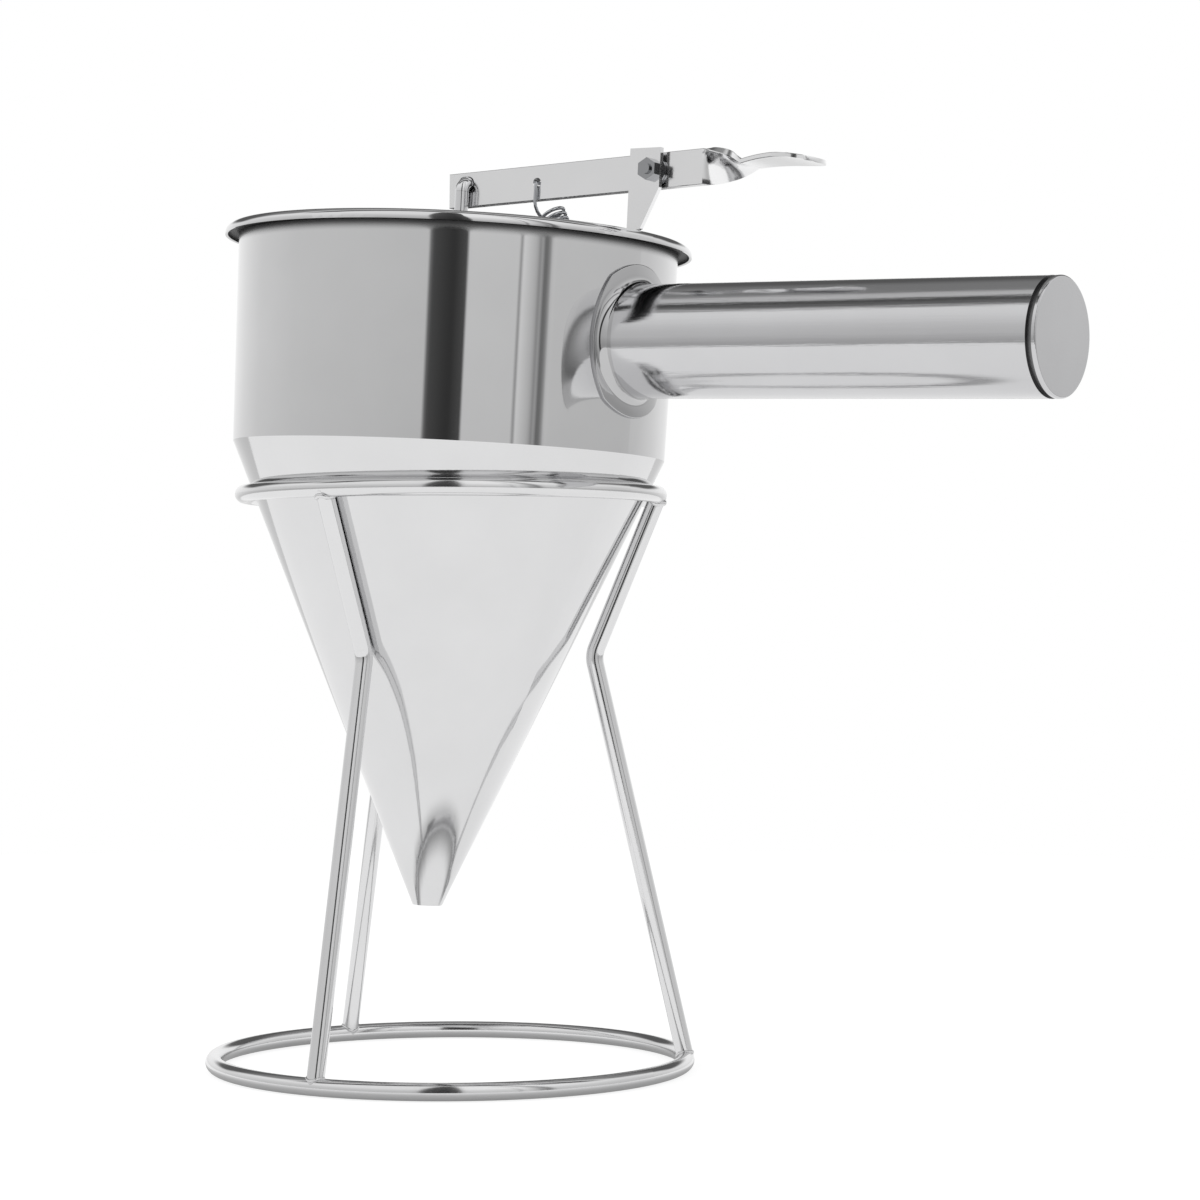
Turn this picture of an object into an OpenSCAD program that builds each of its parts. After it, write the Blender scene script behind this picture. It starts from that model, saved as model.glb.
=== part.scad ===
// Batter dispenser: a steel funnel with a lever valve, resting in a bent wire stand.
// The origin is the centre of the base ring on the table, +Z is up and the handle points to +X.
// The funnel leans a little in its seat, so its pieces are drawn upright around the outlet
// and put in place by the module seated().

/* [Stand] */
// Thickness of the wire that the stand is bent from
wire_d = 5; // [4:0.5:6]
// Diameter of the base ring, from wire centre to wire centre
base_ring_d = 137; // [120:1:160]
// Direction of the first leg, turned from the handle's side
leg_angle = 34; // [20:1:50]
// How far each leg leans sideways around its foot
leg_skew = 1.1; // [0:0.1:2]
// Height of the legs' narrow waist
waist_z = 120; // [105:1:130]
// Clear gap between the cone and a leg's wire at the waist
waist_gap = 0.5; // [0.4:0.1:4]
// Bend radius of the wire at the waist
waist_bend_r = 8; // [5:0.5:14]

/* [Seat] */
// Height of the outlet above the table
outlet_z = 47.3; // [40:0.5:60]
// How far the seat ring touches the cone below the bowl's lower edge
seat_drop = 11.4; // [9:0.2:16]
// Lean of the funnel in its seat, toward the first leg
lean = 2.7; // [0:0.1:3]
// Clearance between the cone and the seat ring's wire
seat_gap = 0.3; // [0.2:0.05:0.5]

/* [Funnel] */
// Outer diameter of the outlet
outlet_d = 8.6; // [8:0.2:12]
// Outer diameter where the cone meets the bowl
cone_d = 125.6; // [115:0.2:140]
// Height of the cone
cone_h = 132.2; // [125:0.2:145]
// Height of the bowl's wall, up to the centre of the rolled rim
bowl_h = 59.9; // [56:0.1:75]
// How much the bowl's radius grows toward the rim
bowl_flare = 1.2; // [0:0.1:2]
// Thickness of the sheet
wall = 0.8; // [0.6:0.1:1.2]
// Diameter of the rolled rim
bead_d = 4.8; // [3.4:0.1:5.6]
// How far the rolled rim's lip turns in below the rim's middle, in degrees
lip_turn = 12; // [0:1:60]

/* [Handle] */
// Outer diameter of the handle tube
handle_d = 32; // [28:0.5:34]
// Wall of the handle tube
handle_wall = 1; // [0.8:0.1:2]
// Distance from the rim's centre down to the handle's axis
handle_drop = 28.3; // [27:0.1:31]
// Distance from the funnel's axis to the handle's end face
handle_reach = 196; // [170:1:220]
// Thickness of the end cap's disc
cap_t = 1.3; // [1.2:0.1:3]
// Rounding of the end cap's edge
cap_edge_r = 0.6; // [0.3:0.1:1]
// Width of the groove between the tube and the cap's disc
cap_groove = 1.6; // [0.5:0.1:2]
// Depth of the cap's skirt inside the tube
cap_skirt_l = 10; // [6:1:20]
// Clearance between the cap's skirt and the tube
cap_fit = 0.05; // [0.03:0.01:0.15]
// How far the collar's flange stands out above and below the tube
flange_w = 5.6; // [4:0.2:7]
// How far the collar's flange stands out at the tube's sides
flange_side_w = 2.4; // [1.5:0.1:4]
// Radius of the flange's flattened sides
flange_side_r = 30; // [24:1:40]
// Thickness of the collar's flange
flange_t = 0.8; // [0.5:0.1:2]
// Radius of the collar's flare onto the tube
flare_r = 3.2; // [2:0.2:4]
// How far the collar's neck stands out of its flange, above the tube
neck_out = 1.2; // [0.5:0.1:3]

/* [Lever] */
// Height of the lever's pivot above the rolled rim
pivot_rise = 19.4; // [17.5:0.1:22]
// Distance of the pivot outside the bowl's inner wall at the rim
pivot_out = 5.2; // [4.5:0.1:6]
// Slope of the lever toward its thumb pad
lever_slope = 2.6; // [0:0.1:4]
// Thickness of the lever's bar
lever_t = 3; // [2.5:0.1:4]
// Height of the lever's bar
lever_h = 10; // [9:0.5:11]
// Length of bar beyond the valve rod
lever_tail = 6.7; // [5:0.1:10]
// Length of bar from the pivot to the twisted neck
lever_nose = 15.5; // [12:0.5:24]
// Length of the twisted neck
neck_l = 14.5; // [10:0.5:18]
// Width of the thumb pad
pad_w = 18; // [14:0.5:22]
// Length of the thumb pad
pad_l = 23.5; // [20:0.5:32]
// Thickness of the thumb pad
pad_t = 1.3; // [1:0.1:2.4]
// Radius of the thumb pad's arch
pad_arch_r = 70; // [50:1:100]
// Opening angle of the lever
lever_travel = 10; // [6:0.5:10]

/* [Pivot] */
// Diameter of the pivot screw's thread
screw_d = 3; // [2.5:0.1:3.5]
// Diameter of the screw's plain shoulder, on which the lever turns
shoulder_d = 4; // [3.8:0.1:5]
// Running clearance around the pivot screw
pivot_play = 0.05; // [0.03:0.01:0.1]
// Diameter of the washer between the lever and its bracket
washer_d = 7.6; // [7:0.1:9]
// Thickness of the washer
washer_t = 0.8; // [0.5:0.1:1.2]
// Side clearance of the lever between the washer and the screw's head
side_play = 0.1; // [0.05:0.01:0.3]
// Thickness of the bracket's sheet
ear_t = 1.5; // [1:0.1:2]
// Width of the bracket's ear beyond the pivot
ear_edge = 3; // [2.8:0.1:5]
// Height of the ear above the pivot
ear_top = 6.2; // [5:0.1:9]
// Depth of the ear's square part below the pivot
ear_drop = 5; // [4:0.1:6]
// Width of the bracket's strip on the bowl's wall
strip_w = 5; // [4.5:0.1:8]
// Depth of the bracket's strip below the rim
strip_depth = 15.4; // [12:0.1:22]

/* [Spring] */
// Thickness of the spring's wire
spring_wire = 1; // [0.8:0.1:1.2]
// Outer diameter of the spring's coil
spring_d = 8; // [6:0.5:9]
// Number of turns
spring_turns = 29; // [24:1:32]
// Length of each of the spring's hooks, along the spring
hook_l = 9.5; // [9:0.1:11]
// Distance from the pivot to the spring's hole in the lever
spring_arm = 40.6; // [36:0.2:44]
// Clear gap between the bracket's strip and the anchor's foot below it
anchor_gap = 17.2; // [12:0.2:20]
// Width of the anchor's foot
anchor_foot_w = 9; // [7:0.5:12]
// Height of the anchor's foot
anchor_foot_h = 11; // [8:0.5:14]
// Distance of the anchor's hole from the bowl's wall
anchor_out = 4; // [3.5:0.1:6]
// Thickness of the anchor's sheet
anchor_t = 1.5; // [1:0.1:2]

/* [Valve] */
// Diameter of the valve rod
rod_d = 4; // [3:0.1:4.2]
// Distance of the rod's top from the funnel's axis, toward the handle
rod_out = 3.1; // [0:0.1:5]
// Bend radius of the rod's hooked top
hook_bend_r = 2.5; // [2.2:0.1:3]
// Gap between the rod and the lever's side
rod_side_gap = 0.6; // [0.4:0.05:1]
// Height of the rod's hook above the middle of the bar
hook_rise = 1.6; // [0:0.1:2]
// Clearance of the hook in its slot
slot_play = 0.15; // [0.12:0.01:0.2]
// Clearance between the valve plug and the cone
plug_gap = 0.15; // [0.1:0.05:0.3]
// Height of the valve plug's tapered part
plug_taper_h = 9; // [7:0.5:12]
// Height of the valve plug's straight part
plug_neck_h = 4; // [3:0.5:6]

/* [Hidden] */
$fn = 96;
eps = 0.01;

steel = [0.80, 0.80, 0.81];
bright_steel = [0.88, 0.88, 0.89];
dark_steel = [0.62, 0.63, 0.65];

// The cone: half of its angle, and its sheet measured across
outlet_r = outlet_d / 2;
cone_r = cone_d / 2;
cone_angle = atan((cone_r - outlet_r) / cone_h);
cone_wall = wall / cos(cone_angle);

// The seat: a leaning cone touches the level ring at two points, on its steep and its flat side
wire_r = wire_d / 2;
wire_space = wire_r + seat_gap;
seat_ring_r = cone_r - seat_drop * tan(cone_angle) + wire_space * cos(cone_angle);
flat_side = cone_angle + lean;
steep_side = cone_angle - lean;
apex_depth = (2 * seat_ring_r - wire_space * (1 / cos(flat_side) + 1 / cos(steep_side)))
    / (tan(flat_side) + tan(steep_side));
apex_shift = ((wire_space + apex_depth * sin(steep_side)) / cos(steep_side)
    - (wire_space + apex_depth * sin(flat_side)) / cos(flat_side)) / 2;
apex_l = outlet_r / tan(cone_angle);
apex_z = outlet_z - apex_l * cos(lean);
seat_z = apex_z + apex_depth;
outlet_shift = apex_shift + apex_l * sin(lean);

// The legs: each runs from the base ring in to the waist and out to the seat ring
leg_step = 120;
waist_shift = apex_shift + (waist_z - apex_z) * tan(lean);
waist_reach = (waist_z - apex_z) * tan(cone_angle) + max(waist_shift, -waist_shift / 2);
waist_r = waist_reach + (wire_r + waist_gap) / cos(cone_angle);
base_ring_r = base_ring_d / 2;
leg_foot = [base_ring_r, wire_r];
leg_waist = [waist_r, waist_z];
leg_top = [seat_ring_r, seat_z];
cope_gap = 0.02;
bend_swell = 0.01;
bend_lap = 0.2;

// The bowl, with heights above the outlet
rim_z = cone_h + bowl_h;
rim_wall_r = cone_r + bowl_flare;
bead_r = bead_d / 2;
bead_x = rim_wall_r - wall + bead_r;
function wall_outer(z) = cone_r + bowl_flare * (z - cone_h) / bowl_h;
function wall_inner(z) = wall_outer(z) - wall;

// The handle
handle_r = handle_d / 2;
handle_z = rim_z - handle_drop;
handle_bore_r = handle_r - handle_wall;
neck_x = wall_outer(handle_z + handle_r) + flange_t + neck_out;
flare_x = neck_x - flare_r;
flange_reach = handle_r + flange_w;
flange_root_x = sqrt(pow(cone_r, 2) - pow(flange_reach, 2));
tube_end_x = handle_reach - cap_t - cap_groove;

// The lever's bracket and pivot
pivot_x = wall_inner(rim_z) + pivot_out;
pivot_z = rim_z + pivot_rise;
ear_in = lever_t / 2 + side_play + washer_t;
ear_out = ear_in + ear_t;
strip_low_z = rim_z - strip_depth;
strip_x = sqrt(pow(wall_inner(strip_low_z), 2) - pow(ear_out, 2)) - 0.05;
strip_top_z = pivot_z - lever_h / 2 - 2.5;
nut_af = screw_d * 5.5 / 3;
nut_t = screw_d * 0.8;
screw_head_d = shoulder_d * 1.75;
screw_head_t = screw_d * 0.65;
screw_tip = 0.8;

// The valve rod hangs beside the bar, so that it leans a little from the outlet
hook_y = -(lever_t / 2 + rod_side_gap + rod_d / 2);
hook_x = rod_out;
hook_z = pivot_z - (pivot_x - hook_x) * tan(lever_slope) + hook_rise;
hook_end = lever_t / 2 + 3.2;
rod_top_z = hook_z - hook_bend_r;
plug_low_z = 0.6;
plug_seat_z = plug_low_z + plug_taper_h;
plug_top_z = plug_seat_z + plug_neck_h;
rod_foot_z = plug_low_z + 4;
rod_lean = atan(norm([hook_x, hook_y]) / (rod_top_z - rod_foot_z));
rod_turn = atan2(hook_y, hook_x);
rod_l = (rod_top_z - rod_foot_z) / cos(rod_lean);
plug_nut_af = rod_d * 7 / 4;
plug_nut_t = rod_d * 0.8;
clip_d = rod_d * 2;
clip_t = 0.8;
clip_y = lever_t / 2 + 0.4;

// The lever's frame has its origin at the pivot and its bar along X
hook_arm = (pivot_x - hook_x) / cos(lever_slope) - hook_rise * sin(lever_slope);
hook_lift = hook_rise * cos(lever_slope);
hook_sag = hook_arm * (1 - cos(lever_travel)) + lever_t / 15;
bar_low = -hook_arm - lever_tail;
spring_hole_d = spring_wire * 2.5;
pad_start = lever_nose + neck_l - lever_t / 5;
pad_end = pad_start + pad_l;
pad_r = pad_w / 2;
pad_round_x = pad_end - pad_r;
pad_crest_x = pad_start + pad_l * 0.35;
pad_sag = pad_arch_r - sqrt(pow(pad_arch_r, 2) - pow(pad_crest_x - pad_start, 2));
neck_end_t = min(lever_t, pad_t + pad_sag);

// The spring runs from its hole in the lever to its hole in the anchor
spring_r = (spring_d - spring_wire) / 2;
anchor_z = strip_low_z - anchor_gap - anchor_foot_h / 2;
anchor_x = wall_inner(anchor_z) - anchor_out;
spring_from = [pivot_x - spring_arm * cos(lever_slope), pivot_z - spring_arm * sin(lever_slope)];
spring_to = [anchor_x, anchor_z];
spring_l = norm(spring_to - spring_from);
spring_way = (spring_to - spring_from) / spring_l;
coil_steps = 14;
wire_sides = 6;

// Puts what is drawn upright around the outlet into its leaning place in the stand
module seated() {
    rotate([0, 0, leg_angle])
        translate([outlet_shift, 0, outlet_z])
            rotate([0, lean, 0])
                rotate([0, 0, -leg_angle])
                    children();
}

// Puts what is drawn in the lever's frame onto the pivot
module on_pivot() {
    seated()
        translate([pivot_x, 0, pivot_z])
            rotate([0, -lever_slope, 0])
                children();
}

// Stands what is drawn along Z onto the rod's foot, along the rod
module along_rod() {
    translate([0, 0, rod_foot_z])
        rotate([0, 0, rod_turn])
            rotate([0, rod_lean, 0])
                children();
}

// A cylinder along Y, through the point x, z
module cross_pin(r, y_from, y_to, x = 0, z = 0) {
    translate([x, y_from, z])
        rotate([-90, 0, 0])
            cylinder(r = r, h = y_to - y_from);
}

module wire_ring(ring_r, r = wire_r) {
    rotate_extrude()
        translate([ring_r, 0])
            circle(r = r, $fn = 32);
}

// A straight wire between two points of the X-Z plane
module wire_rod(from, to) {
    way = to - from;
    translate([from[0], 0, from[1]])
        rotate([0, atan2(way[0], way[1]), 0])
            cylinder(r = wire_r, h = norm(way), $fn = 48);
}

// ---- stand ----

module base_ring() {
    color(bright_steel)
        translate([0, 0, wire_r])
            wire_ring(base_ring_r);
}

module seat_ring() {
    color(bright_steel)
        translate([0, 0, seat_z])
            wire_ring(seat_ring_r);
}

// A leg's wire: two straight runs, whose ends reach a little into the arc at the waist
module leg_wire() {
    low_way = (leg_waist - leg_foot) / norm(leg_waist - leg_foot);
    high_way = (leg_top - leg_waist) / norm(leg_top - leg_waist);
    low_tilt = atan2(low_way[0], low_way[1]);
    high_tilt = atan2(high_way[0], high_way[1]);
    turn = high_tilt - low_tilt;
    cut = waist_bend_r * tan(turn / 2);
    bend_start = leg_waist - low_way * cut;
    bend_centre = bend_start + waist_bend_r * [low_way[1], -low_way[0]];
    wire_rod(leg_foot, bend_start + low_way * bend_lap);
    wire_rod(leg_waist + high_way * (cut - bend_lap), leg_top);
    translate([bend_centre[0], 0, bend_centre[1]])
        rotate([90, 0, 0])
            rotate([0, 0, 180 - high_tilt])
                rotate_extrude(angle = turn)
                    translate([waist_bend_r, 0])
                        circle(r = wire_r + bend_swell, $fn = 48);
}

// A leg, coped where it is welded onto the two rings
module stand_leg(number) {
    color(steel)
        rotate([0, 0, leg_angle + number * leg_step])
            difference() {
                translate([base_ring_r, 0, wire_r])
                    rotate([leg_skew, 0, 0])
                        translate([-base_ring_r, 0, -wire_r])
                            leg_wire();
                translate([0, 0, wire_r])
                    wire_ring(base_ring_r, wire_r + cope_gap);
                translate([0, 0, seat_z])
                    wire_ring(seat_ring_r, wire_r + cope_gap);
            }
}

module stand_leg_1() { stand_leg(0); }
module stand_leg_2() { stand_leg(1); }
module stand_leg_3() { stand_leg(2); }

// ---- funnel ----

// The rim's curl: it leaves the wall, rolls over outward and ends in a lip, open below
module rim_curl() {
    low = -2 * bead_r;
    translate([bead_x, rim_z])
        difference() {
            circle(r = bead_r, $fn = 48);
            circle(r = bead_r - wall, $fn = 48);
            polygon([[0, 0], [low, 0], [low, low], [-low, low], [-low, low * tan(lip_turn)]]);
        }
}

module bowl() {
    color(steel)
        seated()
            rotate_extrude() {
                polygon([
                    [cone_r - wall, cone_h],
                    [cone_r, cone_h],
                    [rim_wall_r, rim_z],
                    [rim_wall_r - wall, rim_z]
                ]);
                rim_curl();
            }
}

module cone() {
    color(bright_steel)
        seated()
            rotate_extrude()
                polygon([
                    [outlet_r - cone_wall, 0],
                    [outlet_r, 0],
                    [cone_r, cone_h],
                    [cone_r - cone_wall, cone_h]
                ]);
}

// The space inside the bowl's outer surface, or inside a surface a little outside it
module bowl_space(grow = 0) {
    translate([0, 0, cone_h])
        cylinder(r1 = cone_r + grow, r2 = rim_wall_r + grow, h = bowl_h, $fn = 96);
}

// Turns what is drawn along Z into the handle's direction, starting at the distance x
module along_handle(x) {
    translate([x, 0, handle_z])
        rotate([0, 90, 0])
            children();
}

// The flange seen along the tube: a circle with flattened sides
module flange_outline() {
    side_shift = flange_side_r - handle_r - flange_side_w;
    intersection() {
        circle(r = flange_reach);
        translate([0, side_shift])
            circle(r = flange_side_r, $fn = 128);
        translate([0, -side_shift])
            circle(r = flange_side_r, $fn = 128);
    }
}

// The neck's half section, with the tube's axis as its Z: a wall that flares toward the bowl.
// It ends as wide as the tube, which is welded onto it.
module neck_section() {
    root = flare_x - flange_root_x;
    difference() {
        translate([handle_bore_r, -root])
            square([handle_wall + flare_r, root + flare_r]);
        translate([handle_r + flare_r, flare_r])
            circle(r = flare_r, $fn = 64);
    }
}

// The collar: a thin flange that follows the bowl's wall, and a neck that flares out of it
module handle_collar() {
    color(steel)
        seated()
            difference() {
                intersection() {
                    union() {
                        bowl_space(flange_t);
                        along_handle(flare_x)
                            rotate_extrude()
                                neck_section();
                    }
                    along_handle(flange_root_x)
                        linear_extrude(neck_x - flange_root_x + 1)
                            flange_outline();
                }
                bowl_space();
                along_handle(0)
                    cylinder(r = handle_bore_r, h = handle_reach);
            }
}

module handle_tube() {
    tube_l = tube_end_x - neck_x;
    color(steel)
        seated()
            along_handle(neck_x)
                difference() {
                    cylinder(r = handle_r, h = tube_l);
                    translate([0, 0, -eps])
                        cylinder(r = handle_bore_r, h = tube_l + 2 * eps);
                }
}

// A pressed cap: a disc with a rounded edge and a skirt that fits inside the tube
module handle_cap() {
    disc_r = handle_r - cap_edge_r;
    skirt_r = handle_bore_r - cap_fit;
    skirt_low = -cap_groove - cap_skirt_l;
    color(steel)
        seated()
            along_handle(tube_end_x + cap_groove)
                rotate_extrude() {
                    square([disc_r, cap_t]);
                    square([handle_r, cap_t - cap_edge_r]);
                    translate([disc_r, cap_t - cap_edge_r])
                        circle(r = cap_edge_r, $fn = 32);
                    translate([skirt_r - wall, skirt_low])
                        square([wall, -skirt_low + cap_t / 2]);
                }
}

// ---- lever bracket, pivot and spring ----

// The bracket's ear: square around the pivot, drawn in to the strip above the rim
module ear_outline() {
    strip_in = strip_x - ear_t;
    side_out = pivot_x + ear_edge;
    bead_top = rim_z + bead_r;
    polygon([
        [strip_in, pivot_z + ear_top],
        [strip_in, rim_z - 6],
        [strip_x, rim_z - 6],
        [strip_x, bead_top],
        [bead_x, bead_top + 0.5],
        [side_out, pivot_z - ear_drop],
        [side_out, pivot_z + ear_top]
    ]);
}

// A bent plate: a strip on the bowl's wall and an ear beside the lever
module lever_bracket() {
    color(bright_steel)
        seated()
            difference() {
                union() {
                    translate([0, -ear_in, 0])
                        rotate([90, 0, 0])
                            linear_extrude(ear_t)
                                ear_outline();
                    translate([strip_x - ear_t, -ear_out, strip_low_z])
                        cube([ear_t, strip_w, strip_top_z - strip_low_z]);
                }
                cross_pin(screw_d / 2 + pivot_play, -ear_out - 1, -ear_in + 1, pivot_x, pivot_z);
            }
}

// A shoulder screw: its head holds the lever, its shoulder bears on the ear
module pivot_screw() {
    head_y = lever_t / 2 + side_play;
    color(dark_steel)
        seated()
            difference() {
                union() {
                    cross_pin(screw_d / 2, -ear_out - nut_t - screw_tip, 0, pivot_x, pivot_z);
                    cross_pin(shoulder_d / 2, -ear_in, head_y, pivot_x, pivot_z);
                    cross_pin(screw_head_d / 2, head_y, head_y + screw_head_t, pivot_x, pivot_z);
                }
                translate([pivot_x - screw_head_d, head_y + screw_head_t * 0.5, pivot_z - 0.4])
                    cube([2 * screw_head_d, screw_head_t, 0.8]);
            }
}

module pivot_washer() {
    color(steel)
        seated()
            difference() {
                cross_pin(washer_d / 2, -ear_in, -ear_in + washer_t, pivot_x, pivot_z);
                cross_pin(shoulder_d / 2 + pivot_play, -ear_out, 0, pivot_x, pivot_z);
            }
}

module pivot_nut() {
    color(steel)
        seated()
            difference() {
                translate([pivot_x, -ear_out, pivot_z])
                    rotate([90, 0, 0])
                        rotate([0, 0, 30])
                            cylinder(r = nut_af / 2 / cos(30), h = nut_t, $fn = 6);
                cross_pin(screw_d / 2, -ear_out - nut_t - 1, -ear_out + 1, pivot_x, pivot_z);
            }
}

// A folded lug on the bowl's wall: a foot on the wall and a tab that holds the spring
module spring_anchor() {
    foot_low = anchor_z - anchor_foot_h / 2;
    foot_x = sqrt(pow(wall_inner(foot_low), 2) - pow(anchor_foot_w / 2, 2)) - 0.05;
    tab_r = 3.5;
    color(steel)
        seated()
            difference() {
                union() {
                    translate([foot_x - anchor_t, -anchor_foot_w / 2, foot_low])
                        cube([anchor_t, anchor_foot_w, anchor_foot_h]);
                    cross_pin(tab_r, -anchor_t / 2, anchor_t / 2, anchor_x, anchor_z);
                    translate([anchor_x, -anchor_t / 2, anchor_z - tab_r])
                        cube([foot_x - anchor_t / 2 - anchor_x, anchor_t, 2 * tab_r]);
                }
                cross_pin(spring_hole_d / 2, -anchor_t, anchor_t, anchor_x, anchor_z);
            }
}

// The spring's centre line as [along, across, sideways]. Each hook leaves the coil's edge,
// runs beside the sheet and turns into its hole.
function hook_side(half) = -(half + 0.3 + spring_wire / 2);
function hook_line(side) = [
    [0, 0, -side],
    [0, 0, side / 2],
    [0.15, -0.05, side * 0.85],
    [0.6, -0.25, side],
    [hook_l * 0.38, -spring_r * 0.5, side],
    [hook_l * 0.65, -spring_r * 0.85, side * 0.95],
    [hook_l - 1, -spring_r, side * 0.45]
];
function spring_line() = let(
    coil_l = spring_l - 2 * hook_l,
    steps = spring_turns * coil_steps,
    top = hook_line(hook_side(lever_t / 2)),
    low = hook_line(hook_side(anchor_t / 2)),
    last = len(low) - 1
) concat(
    top,
    [for (i = [0 : steps])
        [hook_l + coil_l * i / steps,
            -spring_r * cos(360 * i / coil_steps),
            spring_r * sin(360 * i / coil_steps)]],
    [for (i = [0 : last]) [spring_l - low[last - i][0], low[last - i][1], -low[last - i][2]]]
);

// Turns a point of the spring's line into the funnel's upright frame
function spring_point(p) = [
    spring_from[0] + spring_way[0] * p[0] - spring_way[1] * p[1],
    p[2],
    spring_from[1] + spring_way[1] * p[0] + spring_way[0] * p[1]
];
function unit(v) = v / norm(v);
function tangent(path, i) = unit(path[min(i + 1, len(path) - 1)] - path[max(i - 1, 0)]);

// A round wire swept along a path, with its sides carried along without twist
module swept_wire(path, r, sides) {
    count = len(path);
    first = unit(cross(tangent(path, 0), [0.3, 0.2, 0.9]));
    normals = [for (i = 0, n = first; i < count;
        i = i + 1, n = i < count ? unit(n - (n * tangent(path, i)) * tangent(path, i)) : n) n];
    points = [for (i = [0 : count - 1]) for (k = [0 : sides - 1])
        path[i] + r * cos(360 * k / sides) * normals[i]
            + r * sin(360 * k / sides) * cross(tangent(path, i), normals[i])];
    walls = [for (i = [0 : count - 2]) for (k = [0 : sides - 1])
        [i * sides + k, (i + 1) * sides + k,
            (i + 1) * sides + (k + 1) % sides, i * sides + (k + 1) % sides]];
    start_cap = [for (k = [0 : sides - 1]) k];
    end_cap = [for (k = [sides - 1 : -1 : 0]) (count - 1) * sides + k];
    polyhedron(points = points, faces = concat(walls, [start_cap, end_cap]), convexity = 8);
}

module return_spring() {
    color(dark_steel)
        seated()
            swept_wire([for (p = spring_line()) spring_point(p)], spring_wire / 2, wire_sides);
}

// ---- lever ----

// The thumb pad seen from above: straight flanks that run onto a round end
module pad_outline() {
    root = lever_h / 2;
    gap = [pad_round_x - pad_start, root];
    touch = atan2(gap[1], gap[0]) + acos(pad_r / norm(gap));
    flank_x = pad_round_x - pad_r * cos(touch);
    flank_y = pad_r * sin(touch);
    polygon([[pad_start, -root], [flank_x, -flank_y], [flank_x, flank_y], [pad_start, root]]);
    translate([pad_round_x, 0])
        circle(r = pad_r, $fn = 64);
}

// The pad is a slice of an arched sheet
module thumb_pad() {
    intersection() {
        translate([0, 0, -pad_arch_r / 2])
            linear_extrude(pad_arch_r)
                pad_outline();
        translate([pad_crest_x, -pad_w, -pad_arch_r + pad_t / 2])
            rotate([-90, 0, 0])
                difference() {
                    cylinder(r = pad_arch_r, h = 2 * pad_w, $fn = 96);
                    translate([0, 0, -eps])
                        cylinder(r = pad_arch_r - pad_t, h = 2 * pad_w + 2 * eps, $fn = 96);
                }
    }
}

// The slot lets the rod's hook swing while the bar tilts
module hook_slot() {
    slot_r = rod_d / 2 + slot_play;
    cross_pin(slot_r, -lever_t, lever_t, -hook_arm, hook_lift);
    cross_pin(slot_r, -lever_t, lever_t, -hook_arm - hook_sag, hook_lift);
    translate([-hook_arm - hook_sag, -lever_t, hook_lift - slot_r])
        cube([hook_sag, 2 * lever_t, 2 * slot_r]);
}

module lever() {
    neck_scale = [1, neck_end_t / lever_t];
    color(bright_steel)
        on_pivot() {
            difference() {
                translate([bar_low, -lever_t / 2, -lever_h / 2])
                    cube([lever_nose - bar_low, lever_t, lever_h]);
                cross_pin(shoulder_d / 2 + pivot_play, -lever_t, lever_t);
                cross_pin(spring_hole_d / 2, -lever_t, lever_t, -spring_arm);
                hook_slot();
            }
            translate([lever_nose, 0, 0])
                rotate([0, 90, 0])
                    linear_extrude(height = neck_l, twist = -90, scale = neck_scale, slices = 48, $fn = 16)
                        square([lever_h, lever_t], center = true);
            thumb_pad();
        }
}

// ---- valve ----

module rod_wire() {
    along_rod()
        cylinder(r = rod_d / 2, h = rod_l, $fn = 48);
    translate([hook_x, hook_y, rod_top_z])
        sphere(r = rod_d / 2, $fn = 48);
    translate([hook_x, hook_y + hook_bend_r, rod_top_z])
        rotate([90, 0, -90])
            rotate_extrude(angle = 90)
                translate([hook_bend_r, 0])
                    circle(r = rod_d / 2, $fn = 48);
    cross_pin(rod_d / 2, hook_y + hook_bend_r, hook_end, hook_x, hook_z);
}

module valve_rod() {
    color(bright_steel)
        seated()
            rod_wire();
}

// The push-on clip that keeps the rod's hook in the lever
module rod_clip() {
    color(dark_steel)
        seated()
            difference() {
                cross_pin(clip_d / 2, clip_y, clip_y + clip_t, hook_x, hook_z);
                cross_pin(rod_d / 2, clip_y - 1, clip_y + clip_t + 1, hook_x, hook_z);
            }
}

// The plug: a taper that fits the cone just above the outlet, and a straight neck
module valve_plug() {
    low_r = outlet_r - cone_wall + plug_low_z * tan(cone_angle) - plug_gap / cos(cone_angle);
    seat_r = low_r + plug_taper_h * tan(cone_angle);
    bevel = 0.8;
    color(steel)
        seated()
            difference() {
                rotate_extrude()
                    polygon([
                        [0, plug_low_z],
                        [low_r, plug_low_z],
                        [seat_r, plug_seat_z],
                        [seat_r, plug_top_z - bevel],
                        [seat_r - bevel, plug_top_z],
                        [0, plug_top_z]
                    ]);
                along_rod()
                    cylinder(r = rod_d / 2, h = rod_l, $fn = 48);
            }
}

// The lock nut on the rod, down on the plug
module plug_nut() {
    nut_low = (plug_top_z - rod_foot_z) / cos(rod_lean) + 0.15;
    color(dark_steel)
        seated()
            along_rod()
                difference() {
                    translate([0, 0, nut_low])
                        cylinder(r = plug_nut_af / 2 / cos(30), h = plug_nut_t, $fn = 6);
                    cylinder(r = rod_d / 2, h = rod_l, $fn = 48);
                }
}

base_ring();
seat_ring();
stand_leg_1();
stand_leg_2();
stand_leg_3();
bowl();
cone();
handle_collar();
handle_tube();
handle_cap();
lever_bracket();
pivot_screw();
pivot_washer();
pivot_nut();
spring_anchor();
return_spring();
lever();
valve_rod();
rod_clip();
valve_plug();
plug_nut();
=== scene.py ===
import math

import bmesh
import bpy
from mathutils import Matrix, Vector, noise
from mathutils.geometry import tessellate_polygon


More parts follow.
